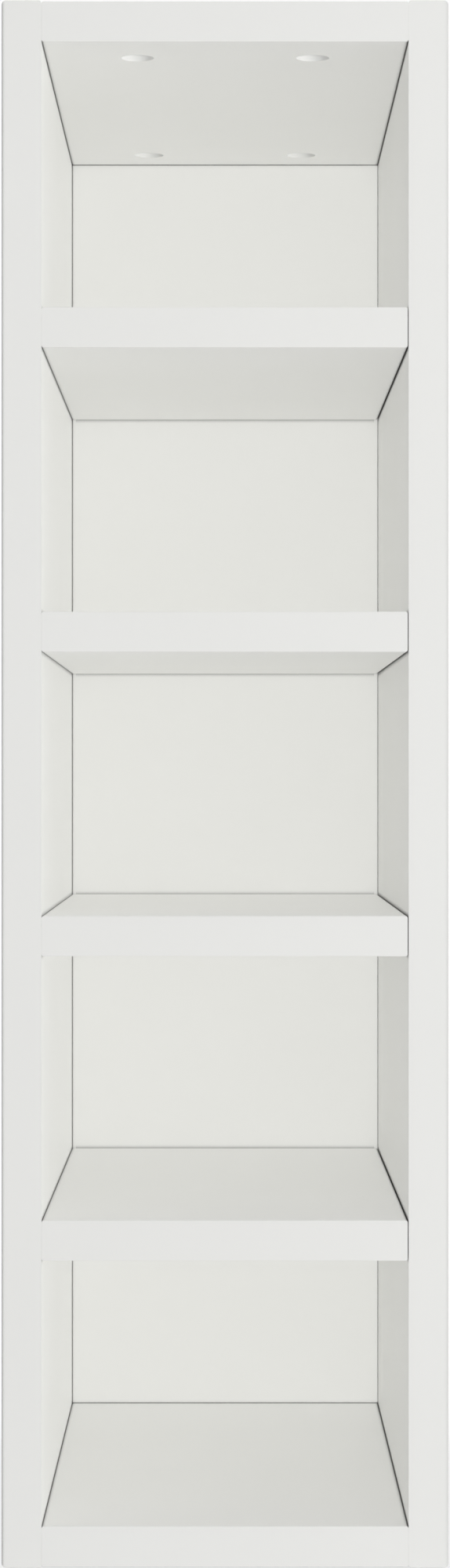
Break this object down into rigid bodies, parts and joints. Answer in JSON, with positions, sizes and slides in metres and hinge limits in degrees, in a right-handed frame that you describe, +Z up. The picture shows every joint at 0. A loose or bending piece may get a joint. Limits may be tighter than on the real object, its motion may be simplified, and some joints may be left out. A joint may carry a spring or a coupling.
{
  "type": "wall wine rack",
  "caption": "Narrow white open unit for a wall: level shelves between two tall sides make equal bays for wine bottles laid flat. Cam nuts and dowels join it and keyhole plates hang it.",
  "frame": {"origin": "middle of the underside, at the level of the lower ends of the sides", "axes": "+Z up, +Y from the open front to the wall, +X to the right as seen from the front"},
  "size_m": [0.2, 0.34, 0.7],
  "materials": {
    "white_lacquer": "satin white lacquer",
    "cam_zinc": "die-cast zinc",
    "bolt_steel": "zinc plated",
    "plate_steel": "zinc plated",
    "screw_steel": "zinc plated",
    "beech": "raw beech"
  },
  "bodies": {
    "rack": {"left_side": "white_lacquer", "right_side": "white_lacquer", "back_panel": "white_lacquer", "top_panel": "white_lacquer", "bottom_panel": "white_lacquer", "shelf_1": "white_lacquer", "shelf_2": "white_lacquer", "shelf_3": "white_lacquer", "shelf_4": "white_lacquer", "top_cam_bolts": "bolt_steel", "bottom_cam_bolts": "bolt_steel", "top_dowels": "beech", "bottom_dowels": "beech", "shelf_1_dowels": "beech", "shelf_2_dowels": "beech", "shelf_3_dowels": "beech", "shelf_4_dowels": "beech", "back_dowels": "beech", "left_hanger": "plate_steel", "right_hanger": "plate_steel", "hanger_screws": "screw_steel"},
    "top_cam_front_left": {"top_cam_front_left": "cam_zinc"},
    "top_cam_front_right": {"top_cam_front_right": "cam_zinc"},
    "top_cam_rear_left": {"top_cam_rear_left": "cam_zinc"},
    "top_cam_rear_right": {"top_cam_rear_right": "cam_zinc"},
    "bottom_cam_front_left": {"bottom_cam_front_left": "cam_zinc"},
    "bottom_cam_front_right": {"bottom_cam_front_right": "cam_zinc"},
    "bottom_cam_rear_left": {"bottom_cam_rear_left": "cam_zinc"},
    "bottom_cam_rear_right": {"bottom_cam_rear_right": "cam_zinc"}
  },
  "joints": [
    {"name": "top_cam_front_left_turn", "type": "hinge", "parent": "rack", "child": "top_cam_front_left", "pos_m": [-0.04, -0.133, 0.69065], "axis": [0, 0, -1], "range_deg": [0, 180]},
    {"name": "top_cam_front_right_turn", "type": "hinge", "parent": "rack", "child": "top_cam_front_right", "pos_m": [0.04, -0.133, 0.69065], "axis": [0, 0, -1], "range_deg": [0, 180]},
    {"name": "top_cam_rear_left_turn", "type": "hinge", "parent": "rack", "child": "top_cam_rear_left", "pos_m": [-0.04, 0.123, 0.69065], "axis": [0, 0, -1], "range_deg": [0, 180]},
    {"name": "top_cam_rear_right_turn", "type": "hinge", "parent": "rack", "child": "top_cam_rear_right", "pos_m": [0.04, 0.123, 0.69065], "axis": [0, 0, -1], "range_deg": [0, 180]},
    {"name": "bottom_cam_front_left_turn", "type": "hinge", "parent": "rack", "child": "bottom_cam_front_left", "pos_m": [-0.04, -0.133, 0.00935], "axis": [0, 0, -1], "range_deg": [0, 180]},
    {"name": "bottom_cam_front_right_turn", "type": "hinge", "parent": "rack", "child": "bottom_cam_front_right", "pos_m": [0.04, -0.133, 0.00935], "axis": [0, 0, -1], "range_deg": [0, 180]},
    {"name": "bottom_cam_rear_left_turn", "type": "hinge", "parent": "rack", "child": "bottom_cam_rear_left", "pos_m": [-0.04, 0.123, 0.00935], "axis": [0, 0, -1], "range_deg": [0, 180]},
    {"name": "bottom_cam_rear_right_turn", "type": "hinge", "parent": "rack", "child": "bottom_cam_rear_right", "pos_m": [0.04, 0.123, 0.00935], "axis": [0, 0, -1], "range_deg": [0, 180]}
  ]
}
